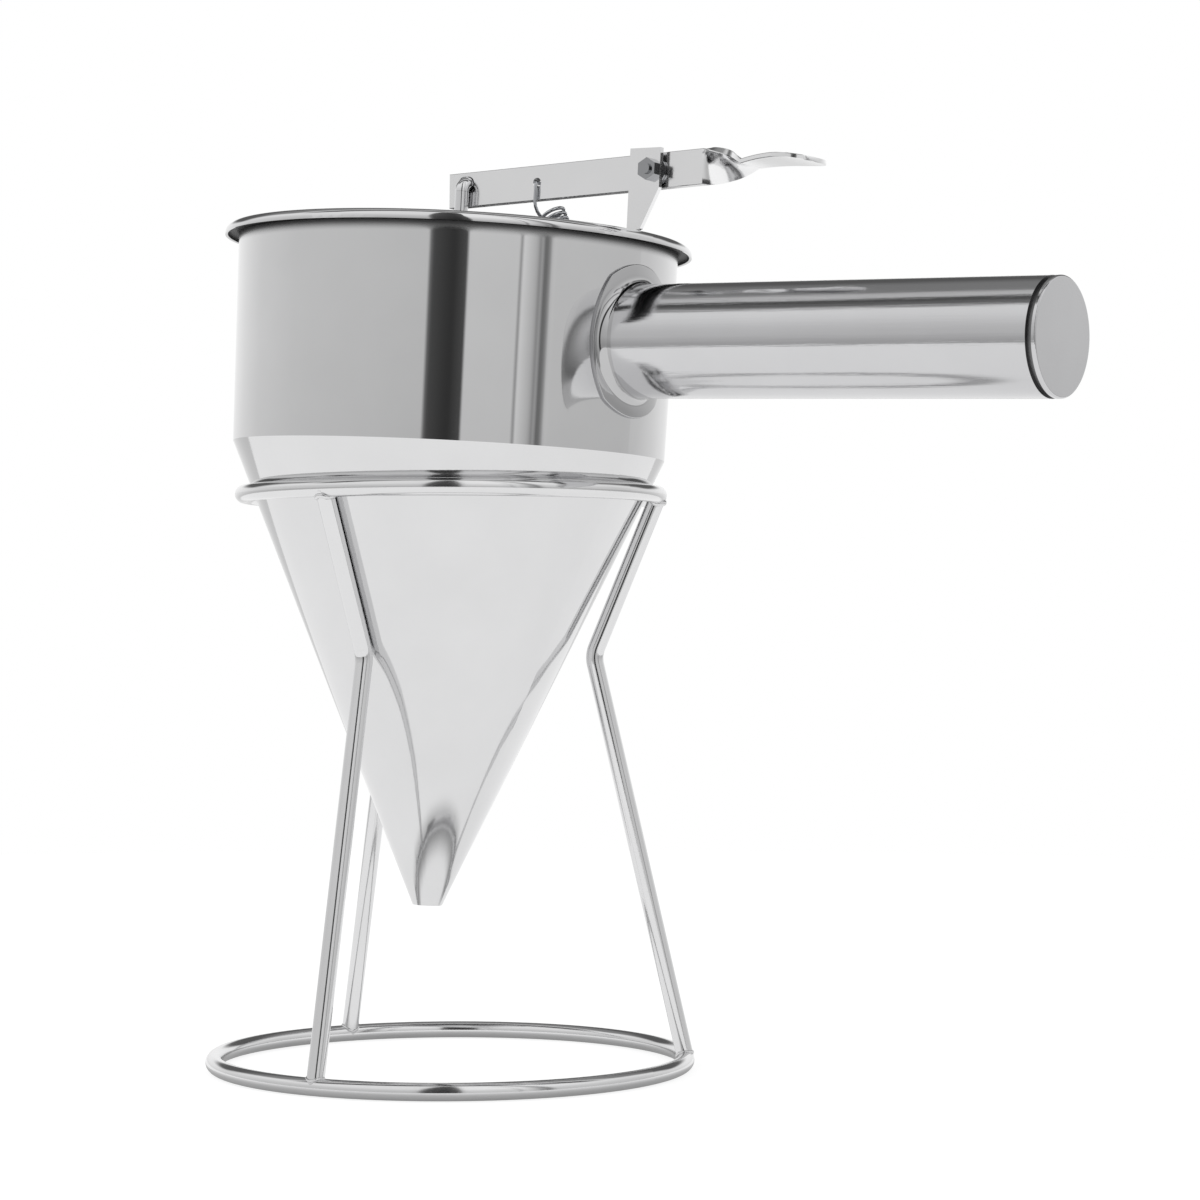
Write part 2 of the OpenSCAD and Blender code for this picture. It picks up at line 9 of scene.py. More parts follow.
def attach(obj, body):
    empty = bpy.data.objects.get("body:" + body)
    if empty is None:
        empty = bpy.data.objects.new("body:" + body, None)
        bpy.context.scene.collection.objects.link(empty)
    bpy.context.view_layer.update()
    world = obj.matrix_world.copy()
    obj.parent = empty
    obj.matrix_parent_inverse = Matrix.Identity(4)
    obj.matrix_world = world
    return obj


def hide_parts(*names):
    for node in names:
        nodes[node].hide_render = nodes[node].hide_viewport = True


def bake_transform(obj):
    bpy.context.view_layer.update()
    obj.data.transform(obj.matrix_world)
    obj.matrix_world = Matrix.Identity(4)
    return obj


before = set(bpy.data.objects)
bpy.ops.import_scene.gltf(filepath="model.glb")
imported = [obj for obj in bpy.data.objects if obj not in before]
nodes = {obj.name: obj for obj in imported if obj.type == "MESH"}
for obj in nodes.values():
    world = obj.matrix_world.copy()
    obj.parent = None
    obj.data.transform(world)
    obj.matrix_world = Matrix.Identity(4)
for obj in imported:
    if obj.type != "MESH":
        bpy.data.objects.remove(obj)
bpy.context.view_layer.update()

# Looks of the batter dispenser: a polished steel funnel with a lever valve in a wire stand.
# Positions repeat the named values of part.scad, in millimetres, and MM turns them into metres.
MM = 0.001
scene = bpy.context.scene

# ---------------------------------------------------------------- sizes shared with the CAD

# Stand
WIRE_R = 2.5
BASE_RING_R = 68.5
SEAT_RING_R = 60.316
SEAT_Z = 166.624
WAIST = (41.475, 120.0)
LEGS = 3
LEG_ANGLE = math.radians(34.0)
LEG_SKEW = math.radians(1.1)

# Funnel, in its own upright frame
LEAN = math.radians(2.7)
OUTLET = (-6.88585, 47.3)
CONE_R = 62.8
CONE_H = 132.2
BOWL_H = 59.9
BOWL_FLARE = 1.2
RIM_Z = 192.1
BEAD_X = 65.6

# Handle and collar
HANDLE_R = 16.0
HANDLE_BORE_R = 15.0
HANDLE_Z = 163.8
TUBE_END = 193.1
CAP_T = 1.3
HANDLE_REACH = 196.0
NECK_X = 65.754
FLANGE_R = 21.6
FLANGE_SIDE = 18.4
FLANGE_SIDE_R = 30.0
FLANGE_T = 0.8

# Lever
PIVOT = (68.4, 211.5)
PIVOT_BORE_R = 2.05
LEVER_SLOPE = math.radians(2.6)
LEVER_H = 10.0
LEVER_T = 3.0
BAR_FROM = -71.995
BAR_TO = 15.5
NECK_L = 14.5
NECK_END_T = 1.785
PAD_R = 9.0
PAD_L = 23.5
PAD_T = 1.3
PAD_LAP = 0.6
PAD_ARCH_R = 70.0
PAD_CREST = 0.35
SPRING_HOLE_X = -40.6
SPRING_HOLE_R = 1.25
SLOT_FROM = -66.481
SLOT_TO = -65.301
SLOT_Z = 1.5985
SLOT_R = 2.15

# Return spring
SPRING_FROM = (27.842, 209.658)
SPRING_TO = (58.437, 154.0)
SPRING_WIRE_R = 0.5
SPRING_R = 3.5
SPRING_TURNS = 29
SPRING_HOOK = 9.5

# How far beside the lever and the anchor the hooks' wire runs
HOOK_SIDE_TOP = -2.3
HOOK_SIDE_LOW = -1.55

# ---------------------------------------------------------------- sizes of the scene alone

COIL_STEPS = 28
FILLET = 2.4
COLLAR_LAP = 0.03
CHAMFER = 0.16
ACROSS = 14
HOLE_STEPS = 48
TWIST_SWAY = 0.04
FOOT_BULGE = 0.42
TOP_BULGE = 0.75
FLOOR_R = 0.92


def rot_z(a):
    return Matrix.Rotation(a, 4, "Z")


# From the funnel's upright frame, in millimetres, to the row frame, in metres
FUNNEL = (
    Matrix.Scale(MM, 4)
    @ rot_z(LEG_ANGLE)
    @ Matrix.Translation((OUTLET[0], 0, OUTLET[1]))
    @ Matrix.Rotation(LEAN, 4, "Y")
    @ rot_z(-LEG_ANGLE)
)

# From the lever's own frame at the pivot, in millimetres, to the row frame
LEVER = (
    FUNNEL
    @ Matrix.Translation((PIVOT[0], 0, PIVOT[1]))
    @ Matrix.Rotation(-LEVER_SLOPE, 4, "Y")
)


# ---------------------------------------------------------------- node graphs

class Graph:
    """A small helper that adds shader nodes and links them."""

    def __init__(self, tree):
        self.tree = tree
        tree.nodes.clear()

    def add(self, kind, **settings):
        node = self.tree.nodes.new(kind)
        for key, value in settings.items():
            setattr(node, key, value)
        return node

    def feed(self, socket, value):
        if isinstance(value, bpy.types.NodeSocket):
            self.tree.links.new(value, socket)
        else:
            socket.default_value = value

    def math(self, operation, a, b=0.0):
        node = self.add("ShaderNodeMath", operation=operation)
        self.feed(node.inputs[0], a)
        self.feed(node.inputs[1], b)
        return node.outputs[0]

    def length(self, x, y):
        squares = [self.math("MULTIPLY", v, v) for v in (x, y)]
        return self.math("SQRT", self.math("ADD", *squares))

    def dot(self, a, b):
        node = self.add("ShaderNodeVectorMath", operation="DOT_PRODUCT")
        self.feed(node.inputs[0], a)
        self.feed(node.inputs[1], b)
        return node.outputs["Value"]

    def place(self):
        return self.add("ShaderNodeTexCoord").outputs["Object"]

    def scaled(self, vector, factor):
        node = self.add("ShaderNodeVectorMath", operation="SCALE")
        self.feed(node.inputs[0], vector)
        node.inputs["Scale"].default_value = factor
        return node.outputs[0]

    def stretched(self, parts, factors):
        node = self.add("ShaderNodeCombineXYZ")
        for socket, part, factor in zip(node.inputs, parts, factors):
            self.feed(socket, self.math("MULTIPLY", part, factor))
        return node.outputs[0]

    def split(self, vector):
        node = self.add("ShaderNodeSeparateXYZ")
        self.feed(node.inputs[0], vector)
        return node.outputs

    def ramp(self, value, stops):
        node = self.add("ShaderNodeValToRGB")
        band = node.color_ramp
        band.interpolation = "LINEAR"
        while len(band.elements) > 1:
            band.elements.remove(band.elements[-1])
        band.elements[0].position = stops[0][0]
        band.elements[0].color = (*[stops[0][1]] * 3, 1)
        for place, level in stops[1:]:
            band.elements.new(place).color = (level, level, level, 1)
        self.feed(node.inputs[0], value)
        return node.outputs[0]

    def range(self, value, low, high, to_low=0.0, to_high=1.0, smooth=False):
        node = self.add("ShaderNodeMapRange")
        node.interpolation_type = "SMOOTHSTEP" if smooth else "LINEAR"
        for socket, v in zip(node.inputs, (value, low, high, to_low, to_high)):
            self.feed(socket, v)
        return node.outputs[0]

    def mix(self, factor, a, b):
        node = self.add("ShaderNodeMix", data_type="FLOAT")
        for i, v in ((0, factor), (2, a), (3, b)):
            self.feed(node.inputs[i], v)
        return node.outputs[0]

    def mix_colour(self, factor, a, b):
        node = self.add("ShaderNodeMix", data_type="RGBA")
        for i, v in ((0, factor), (6, a), (7, b)):
            self.feed(node.inputs[i], v)
        return node.outputs[2]

    def noise(self, vector, scale, detail, rough=0.5):
        node = self.add("ShaderNodeTexNoise")
        self.feed(node.inputs["Vector"], vector)
        node.inputs["Scale"].default_value = scale
        node.inputs["Detail"].default_value = detail
        node.inputs["Roughness"].default_value = rough
        return node.outputs["Fac"]


# ---------------------------------------------------------------- materials

# How close the polish marks and the broad waves lie along each axis of a grain
GRAINS = {
    "round": ((70, 70, 14), (5, 5, 6)),
    "along": ((30, 1600, 1600), (25, 90, 90)),
    "free": (900, 60),
}
PITS = 1400.0
FILM = 38.0

# Painted shade: the dark colour and the roughness that comes with it, and where the rim's curl and
# the cap's groove have it
PAINTED_SHADE_ROUGH = 0.45
PAINTED_SHADE_COLOUR = (0.045, 0.045, 0.046, 1)
# Where shade is painted inside the rim's curl and on the wall under its lip
CURL_EDGE = (1.75, 1.62)
SHELTER_Z = (-3.4, -0.6)
SHELTER_IN = (63.3, 63.6)
SHELTER_OUT = (65.3, 64.7)
SHELTER_SHARE = 0.85
# Where shade is painted in the groove between the handle's tube and its cap
GROOVE_IN = (TUBE_END - 0.1, TUBE_END - 0.02)
GROOVE_OUT = (HANDLE_REACH - CAP_T + 0.15, HANDLE_REACH - CAP_T + 0.05)
GROOVE_SHARE = 0.75


def local(graph, origin):
    """The surface point along the funnel's own axes, in metres from origin (funnel mm)."""
    shift = graph.add("ShaderNodeVectorMath", operation="SUBTRACT")
    graph.feed(shift.inputs[0], graph.place())
    shift.inputs[1].default_value = FUNNEL @ Vector(origin)
    turn = (FUNNEL.to_3x3() * (1 / MM)).normalized()
    return [graph.dot(shift.outputs[0], tuple(turn.col[i])) for i in range(3)]


def between(g, value, limits, *levels, smooth=False):
    """value, in metres, mapped from limits in millimetres."""
    return g.range(value, limits[0] * MM, limits[1] * MM, *levels, smooth=smooth)


def curl_painted_shade(g):
    """Painted shade: 1 inside the rim's curl, fading over the band of the wall that it shelters."""
    x, y, z = local(g, (0, 0, RIM_Z))
    radius = g.length(x, y)
    reach = g.length(g.math("SUBTRACT", radius, BEAD_X * MM), z)
    inside = between(g, reach, CURL_EDGE)
    below = between(g, z, SHELTER_Z, smooth=True)
    outer = g.math("MULTIPLY", between(g, radius, SHELTER_IN), between(g, radius, SHELTER_OUT))
    sheltered = g.math("MULTIPLY", g.math("MULTIPLY", below, outer), SHELTER_SHARE)
    return g.math("MAXIMUM", inside, sheltered)


def groove_painted_shade(g):
    """The painted shade in the groove between the handle's tube and its cap."""
    x = local(g, (0, 0, 0))[0]
    return g.math("MULTIPLY", between(g, x, GROOVE_IN),
                  between(g, x, GROOVE_OUT, 0.0, GROOVE_SHARE))


def steel(name, colour, rough, heights, grain, haze=0.04, painted_shade=None, tint=0.03):
    """A metal whose polish marks follow grain: 'round', 'along' or 'free'.

    heights are the size in metres of the fine marks, the broad waves and the pits. painted_shade is
    a function that says, from 0 to 1, where shade is painted in as a dark colour on a rougher
    metal."""
    material = bpy.data.materials.new(name)
    material.use_nodes = True
    g = Graph(material.node_tree)
    shader = g.add("ShaderNodeBsdfPrincipled")
    out = g.add("ShaderNodeOutputMaterial")
    g.feed(out.inputs["Surface"], shader.outputs[0])
    shader.inputs["Metallic"].default_value = 1.0

    spread = g.scaled if grain == "free" else g.stretched
    if grain == "free":
        point = g.place()
    else:
        point = local(g, (0, 0, 0))
        if grain == "round":
            radius = g.math("MAXIMUM", g.length(*point[:2]), 1e-4)
            point = [g.math("DIVIDE", v, radius) for v in point[:2]] + [point[2]]
    marks, waves = [spread(point, factors) for factors in GRAINS[grain]]

    place = g.place()
    fine = g.noise(marks, 1.0, detail=4, rough=0.6)
    layers = [fine, g.noise(waves, 1.0, detail=1), g.noise(place, PITS, detail=2)]
    film = g.noise(place, FILM, detail=4, rough=0.55)

    raised = [g.math("MULTIPLY", layer, size) for layer, size in zip(layers, heights)]
    bump = g.add("ShaderNodeBump")
    bump.inputs["Strength"].default_value = 1.0
    bump.inputs["Distance"].default_value = 1.0
    g.feed(bump.inputs["Height"], g.math("ADD", g.math("ADD", *raised[:2]), raised[2]))
    g.feed(shader.inputs["Normal"], bump.outputs[0])

    level = g.math("ADD", g.math("MULTIPLY", fine, 0.5), g.math("MULTIPLY", film, 0.5))
    roughness = g.range(level, 0.3, 0.7, rough, rough + haze)
    base = g.mix_colour(g.range(film, 0.35, 0.65),
                        (*colour, 1), (*[c * (1 - tint) for c in colour], 1))
    # Painted shade: where the mask says, the base colour turns dark and the metal rougher
    if painted_shade:
        shade_amount = painted_shade(g)
        roughness = g.mix(shade_amount, roughness, PAINTED_SHADE_ROUGH)
        base = g.mix_colour(shade_amount, base, PAINTED_SHADE_COLOUR)
    g.feed(shader.inputs["Roughness"], roughness)
    g.feed(shader.inputs["Base Color"], base)
    return material


# The sheet has painted shade inside the rim's curl and under it
SHEET = steel("polished_sheet", (0.72, 0.72, 0.725), 0.03, (1.0e-6, 2.2e-5, 5e-8), "round",
              haze=0.025, painted_shade=curl_painted_shade)
CONE = steel("polished_cone", (0.72, 0.72, 0.725), 0.05, (2.0e-6, 4.0e-5, 1e-7), "round")
# The tube's steel has painted shade in the groove before its cap
TUBE = steel("polished_tube", (0.62, 0.62, 0.63), 0.07, (2.4e-5, 1.6e-5, 1e-7), "along",
             painted_shade=groove_painted_shade)
COLLAR = steel("polished_collar", (0.52, 0.52, 0.525), 0.05, (1e-7, 3e-6, 5e-8), "free")
CHROME = steel("chromed_wire", (0.74, 0.74, 0.745), 0.09, (1e-7, 3e-6, 1e-7), "free")
WELD = steel("weld_bead", (0.74, 0.74, 0.745), 0.20, (6e-6, 5e-5, 1e-6), "free", haze=0.12)
BRUSHED = steel("brushed_sheet", (0.88, 0.88, 0.885), 0.12, (2.5e-7, 2e-6, 1e-7), "along",
                haze=0.05)
FASTENER = steel("turned_steel", (0.36, 0.365, 0.375), 0.10, (1e-6, 2e-6, 2e-7), "free",
                 haze=0.06)
SPRING = steel("spring_wire", (0.50, 0.51, 0.53), 0.10, (4e-7, 1e-6, 2e-7), "free", haze=0.06)
ROD = steel("valve_rod", (0.74, 0.74, 0.75), 0.06, (3e-7, 3e-6, 1e-7), "free")
CUT_EDGE = steel("cut_edge", (0.34, 0.34, 0.35), 0.28, (1e-6, 2e-6, 4e-7), "free")

FINISHES = {
    "bowl": SHEET, "cone": CONE,
    "handle_collar": TUBE, "handle_tube": TUBE, "handle_cap": TUBE,
    "base_ring": CHROME, "seat_ring": CHROME,
    "stand_leg_1": CHROME, "stand_leg_2": CHROME, "stand_leg_3": CHROME,
    "lever": BRUSHED, "lever_bracket": BRUSHED, "spring_anchor": BRUSHED,
    "pivot_screw": FASTENER, "pivot_washer": FASTENER, "pivot_nut": FASTENER,
    "rod_clip": FASTENER, "plug_nut": FASTENER,
    "return_spring": SPRING, "valve_rod": ROD, "valve_plug": ROD,
}
for node, material in FINISHES.items():
    for slot in nodes[node].material_slots:
        slot.material = material


# ---------------------------------------------------------------- pieces

def turn_outward(mesh):
    """Makes every face of a closed mesh point out of it."""
    shape = bmesh.new()
    shape.from_mesh(mesh)
    bmesh.ops.recalc_face_normals(shape, faces=shape.faces)
    shape.to_mesh(mesh)
    shape.free()


def mesh_object(name, points, faces, material, closed=True):
    """A new object: smooth and turned outward where it is closed, else flat."""
    mesh = bpy.data.meshes.new(name)
    mesh.from_pydata([tuple(p) for p in points], [], faces)
    mesh.validate()
    if closed:
        turn_outward(mesh)
    mesh.update()
    mesh.shade_smooth() if closed else mesh.shade_flat()
    piece = bpy.data.objects.new(name, mesh)
    scene.collection.objects.link(piece)
    mesh.materials.append(material)
    return piece


def circle(steps):
    return [2 * math.pi * i / steps for i in range(steps)]


def swept(name, path, radii, sides, material, ring=False):
    """A round wire along path, with a radius at each point."""
    count = len(path)
    step = lambda i: path[i % count] if ring else path[max(0, min(count - 1, i))]
    tangents = [(step(i + 1) - step(i - 1)).normalized() for i in range(count)]
    normal = tangents[0].orthogonal().normalized()
    points, faces = [], []
    for centre, radius, tangent in zip(path, radii, tangents):
        normal = (normal - normal.dot(tangent) * tangent).normalized()
        other = tangent.cross(normal)
        points += [centre + radius * (math.cos(a) * normal + math.sin(a) * other)
                   for a in circle(sides)]
    for i in range(count if ring else count - 1):
        for k in range(sides):
            j = (i + 1) % count
            faces.append((i * sides + k, i * sides + (k + 1) % sides,
                          j * sides + (k + 1) % sides, j * sides + k))
    if not ring:
        faces.append(tuple(reversed(range(sides))))
        faces.append(tuple((count - 1) * sides + k for k in range(sides)))
    return mesh_object(name, points, faces, material)


def hook(side):
    """The points of a hook, (along, across, sideways) from its hole, out to the first turn."""
    bend = [(0.22, 0.25, 1), (0.38, 0.5, 1), (0.52, 0.72, 1), (0.65, 0.85, 0.95), (0.8, 0.95, 0.75)]
    points = [(0, 0, -side), (0, 0, 0), (0, 0, side * 0.6), (0.12, -0.03, side * 0.88),
              (0.5, -0.2, side)]
    points += [(SPRING_HOOK * x, -SPRING_R * y, side * z) for x, y, z in bend]
    return points + [(SPRING_HOOK - 1, -SPRING_R, side * 0.45)]


def spring_path():
    """The return spring's centre line, as in the CAD but finer, in the row frame."""
    start, end = Vector(SPRING_FROM), Vector(SPRING_TO)
    length = (end - start).length
    way = (end - start) / length
    count = SPRING_TURNS * COIL_STEPS
    line = hook(HOOK_SIDE_TOP)
    for i in range(count + 1):
        a = 2 * math.pi * i / COIL_STEPS
        line.append((SPRING_HOOK + (length - 2 * SPRING_HOOK) * i / count,
                     -SPRING_R * math.cos(a), SPRING_R * math.sin(a)))
    line += [(length - x, y, -z) for x, y, z in reversed(hook(HOOK_SIDE_LOW))]
    return [FUNNEL @ Vector((start[0] + way[0] * x - way[1] * y, z,
                             start[1] + way[1] * x + way[0] * y)) for x, y, z in line]


path = spring_path()
spring = swept("return_spring_coil", path, [SPRING_WIRE_R * MM] * len(path), 10, SPRING)
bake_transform(spring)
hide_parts("return_spring")


def wall_x(y, z, out):
    """How far out the bowl's wall is at y and z, or a surface that lies out from it."""
    radius = CONE_R + BOWL_FLARE * (z - CONE_H) / BOWL_H + out
    return math.sqrt(radius * radius - y * y)


def collar_ring(a):
    """One section through the collar, at an angle round the handle, from its edge inward."""
    c, s = math.cos(a), math.sin(a)
    on_wall = lambda r, out: wall_x(r * c, HANDLE_Z + r * s, out)
    shift = FLANGE_SIDE_R - FLANGE_SIDE
    edge = min(FLANGE_R, math.sqrt(FLANGE_SIDE_R ** 2 - (shift * s) ** 2) - shift * abs(c))
    wide = min(FILLET, edge - HANDLE_R - 1.0)
    neck_end = on_wall(HANDLE_R, FLANGE_T) + FILLET
    lap = COLLAR_LAP * min(1, max(0, neck_end - NECK_X))
    root = HANDLE_R + lap

    rounded = [(0, -0.05), (0, 0.5), (0.05, 0.64), (0.17, 0.75), (0.34, FLANGE_T)]
    line = [(edge - r, on_wall(edge - r, out)) for r, out in rounded]
    steps = 14
    for k in range(steps + 1):
        t = math.pi / 2 * k / steps
        r = root + wide * (1 - math.sin(t))
        line.append((r, on_wall(r, FLANGE_T) + FILLET * (1 - math.cos(t))))
    end = max(neck_end + 0.02, NECK_X)
    line += [(root, end), (HANDLE_R - 0.1, end), (HANDLE_R - 0.1, NECK_X - 0.1),
             (HANDLE_BORE_R, NECK_X - 0.1), (HANDLE_BORE_R, on_wall(HANDLE_BORE_R, -0.05))]
    return [FUNNEL @ Vector((x, r * c, HANDLE_Z + r * s)) for r, x in line]


def collar():
    """The saddle-shaped flange that is welded to the bowl, with its fillet onto the tube."""
    rings = [collar_ring(a) for a in circle(180)]
    count, size = len(rings), len(rings[0])
    faces = [(i * size + k, i * size + (k + 1) % size,
              (i + 1) % count * size + (k + 1) % size, (i + 1) % count * size + k)
             for i in range(count) for k in range(size)]
    piece = mesh_object("collar_flange", [p for ring in rings for p in ring], faces, COLLAR)
    piece.data.set_sharp_from_angle(angle=math.radians(50))
    piece.data.materials.append(CUT_EDGE)
    for face in piece.data.polygons:
        face.material_index = 1 if face.index % size in (0, 1, 2) else 0
    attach(piece, "funnel")
    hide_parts("handle_collar")


collar()


def capsule(x_from, x_to, z, radius):
    """A closed outline round two points at one height, in the lever's plane."""
    return [((x_to if math.cos(a) > 0 else x_from) + radius * math.cos(a),
             z + radius * math.sin(a)) for a in circle(HOLE_STEPS)]


def across(reach):
    """Points from -reach to reach, which the bar's open end shares with the neck."""
    return [reach * (2 * i / ACROSS - 1) for i in range(ACROSS + 1)]


def bar_loops(inset):
    """The bar's outline, open toward the neck after its first point, and its three holes."""
    low, high = BAR_FROM + inset, LEVER_H / 2 - inset
    return [
        [(low, -high), *[(BAR_TO, z) for z in across(high)], (low, high)],
        capsule(0, 0, 0, PIVOT_BORE_R + inset),
        capsule(SPRING_HOLE_X, SPRING_HOLE_X, 0, SPRING_HOLE_R + inset),
        capsule(SLOT_FROM, SLOT_TO, SLOT_Z, SLOT_R + inset)]


def lever_bar():
    """The bar on edge, with its holes and chamfered edges. Open toward the neck."""
    half = LEVER_T / 2
    layers = [(-half, CHAMFER), (CHAMFER - half, 0), (half - CHAMFER, 0), (half, CHAMFER)]
    points, faces, starts = [], [], []
    for y, inset in layers:
        starts.append(len(points))
        points += [Vector((x, y, z)) for loop in bar_loops(inset) for x, z in loop]
    side = [[Vector((x, z, 0)) for x, z in loop] for loop in bar_loops(CHAMFER)]
    for i, j, k in tessellate_polygon(side):
        faces.append((i, j, k))
        faces.append((starts[3] + i, starts[3] + k, starts[3] + j))
    for below, above in zip(starts, starts[1:]):
        first = 0
        for number, loop in enumerate(bar_loops(0)):
            for i in range(len(loop)):
                if number == 0 and 1 <= i <= ACROSS:
                    continue
                a, b = first + i, first + (i + 1) % len(loop)
                faces.append((below + a, below + b, above + b, above + a))
            first += len(loop)
    used = sorted({i for face in faces for i in face})
    place = {old: new for new, old in enumerate(used)}
    return [points[i] for i in used], [tuple(place[i] for i in face) for face in faces]


def lever_sheet():
    """The twisted neck and the arched thumb pad, as one run of sections of a sheet."""
    neck_end = BAR_TO + NECK_L
    pad_start = neck_end - PAD_LAP
    round_x = pad_start + PAD_L - PAD_R
    crest = pad_start + PAD_L * PAD_CREST
    # The pad's straight flanks run from the bar's width to where they touch its round end
    gap = Vector((PAD_L - PAD_R, LEVER_H / 2))
    touch = math.atan2(gap.y, gap.x) + math.acos(PAD_R / gap.length)
    flank = Vector((round_x - PAD_R * math.cos(touch), PAD_R * math.sin(touch)))
    places = [BAR_TO + NECK_L * i / 60 for i in range(61)]
    places += [neck_end + (round_x - neck_end) * i / 20 for i in range(1, 21)]
    places += [round_x + PAD_R * math.sin(math.radians(a)) for a in range(4, 89, 4)]

    points = []
    for x in places:
        if x < pad_start:
            wide = LEVER_H / 2
        elif x < flank.x:
            share = (x - pad_start) / (flank.x - pad_start)
            wide = LEVER_H / 2 + (flank.y - LEVER_H / 2) * share
        else:
            wide = math.sqrt(PAD_R ** 2 - (x - round_x) ** 2)
        blend = min(1, max(0, (x - neck_end + 3) / 4))
        blend = blend * blend * (3 - 2 * blend)
        drop = PAD_ARCH_R - math.sqrt(PAD_ARCH_R ** 2 - (x - crest) ** 2)
        turned = min(1, (x - BAR_TO) / NECK_L)
        thick = LEVER_T + (NECK_END_T - LEVER_T) * turned
        half = (thick + (PAD_T - thick) * blend) / 2
        a = math.radians(90) * (turned + TWIST_SWAY * math.sin(2 * math.pi * turned))
        along = Vector((0, math.sin(a), -math.cos(a)))
        outward = Vector((0, -math.cos(a), -math.sin(a)))
        cut = min(CHAMFER, wide * 0.4)
        flat = across(wide - cut)
        section = [(u, half) for u in flat] + [(wide, half - cut), (wide, cut - half)]
        section += [(u, -half) for u in reversed(flat)] + [(-wide, cut - half), (-wide, half - cut)]
        for u, v in section:
            points.append(Vector((x, 0, -drop * blend)) + u * along + v * outward)

    size = 2 * ACROSS + 6
    faces = []
    for i in range(len(places) - 1):
        for k in range(size):
            j = (k + 1) % size
            faces.append((i * size + k, (i + 1) * size + k, (i + 1) * size + j, i * size + j))
    tip = [(i, i + 1, size - 4 - i, size - 3 - i) for i in range(ACROSS)]
    tip += [(ACROSS, ACROSS + 1, ACROSS + 2, ACROSS + 3), (size - 3, size - 2, size - 1, 0)]
    faces += [tuple((len(places) - 1) * size + k for k in face) for face in tip]
    return points, faces


def lever_arm():
    points, faces = lever_bar()
    more, strips = lever_sheet()
    faces = faces + [tuple(i + len(points) for i in face) for face in strips]
    piece = mesh_object("lever_arm", [LEVER @ p for p in points + more], faces, BRUSHED)
    piece.data.set_sharp_from_angle(angle=math.radians(30))
    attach(piece, "lever")
    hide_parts("lever")


lever_arm()


def weld(name, number, at, toward, bulge):
    """The bead round a leg where it meets a ring. at and toward lie in the leg's plane."""
    skew = (rot_z(LEG_ANGLE + number * 2 * math.pi / LEGS)
            @ Matrix.Translation((BASE_RING_R, 0, WIRE_R))
            @ Matrix.Rotation(LEG_SKEW, 4, "X")
            @ Matrix.Translation((-BASE_RING_R, 0, -WIRE_R)))
    centre = Vector((at[0], 0, at[1]))
    way = (Vector((toward[0], 0, toward[1])) - centre).normalized()
    sideways = Vector((0, 1, 0))
    radial = sideways.cross(way)
    points, radii = [], []
    for a in circle(48):
        # The leg leaves the ring's wire higher up along the ring than across it
        lift = WIRE_R * math.sqrt(0.30 + 0.70 * math.sin(a) ** 2)
        wobble = noise.noise(Vector((3 * math.cos(a), 3 * math.sin(a), 7.3 * number + at[1])))
        p = centre + way * (lift + 0.18 * wobble) + (WIRE_R - 0.10) * (
            math.cos(a) * radial + math.sin(a) * sideways)
        points.append((skew @ p) * MM)
        radii.append((bulge + 0.12 * wobble) * MM)
    bead = swept(name, points, radii, 12, WELD, ring=True)
    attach(bead, "stand")


for leg in range(LEGS):
    weld(f"foot_weld_{leg + 1}", leg, (BASE_RING_R, WIRE_R), WAIST, FOOT_BULGE)
    weld(f"top_weld_{leg + 1}", leg, (SEAT_RING_R, SEAT_Z), WAIST, TOP_BULGE)


# ---------------------------------------------------------------- floor, light and camera

CAMERA = Vector((0.56797, -0.75905, 0.12834))
LOOK = Vector((-0.56184, 0.82720, 0.00823)).normalized()
TO_CAMERA = Vector((-LOOK.x, -LOOK.y, 0)).normalized()
TO_RIGHT = Vector((LOOK.y, -LOOK.x, 0)).normalized()
ROLL = math.radians(0.061)
LENS = 97.38

# The floor's glow: its share, its strength for the camera, and its strength in reflections,
# which rises over these distances in millimetres from the middle of the base ring's wire
FLOOR_SHARE = 0.74
FLOOR_GLOW = 1.13
FLOOR_BESIDE = (1, 14)
FLOOR_SHADE = (0.35, 1.06)

# The studio's wall, as metal reflects it, by the turn in degrees to the right of the camera
WALL = [
    (-180, 1.0), (-150, 0.95), (-120, 0.78), (-90, 0.70), (-58, 0.68), (-12.1, 0.66),
    (-11.1, 0.105), (-8.5, 0.075), (-2.4, 0.05), (1, 0.041), (7.2, 0.09), (8.2, 0.75),
    (31, 0.75), (34.2, 0.76), (34.9, 0.36), (35.9, 0.36), (36.5, 0.85), (43.4, 0.58),
    (44.6, 0.34), (46.0, 0.35), (46.5, 0.48), (47.2, 0.20), (49.8, 0.22), (50.1, 0.36),
    (51.2, 0.38), (52.2, 0.76), (55, 0.72), (105, 0.70), (125, 0.82), (150, 0.97),
    (180, 1.0)]

# Strips overhead, by the angle from the camera's side over the top to the far side
STRIPS = [
    (60, 0.95), (80, 0.95), (82, 0.28), (92, 0.10), (97, 0.09), (99, 0.72), (107, 0.62),
    (110, 0.28), (128, 0.26), (142, 0.12), (165, 0.12), (172, 0.60), (180, 1.0)]
EVEN_LIGHT = 0.72


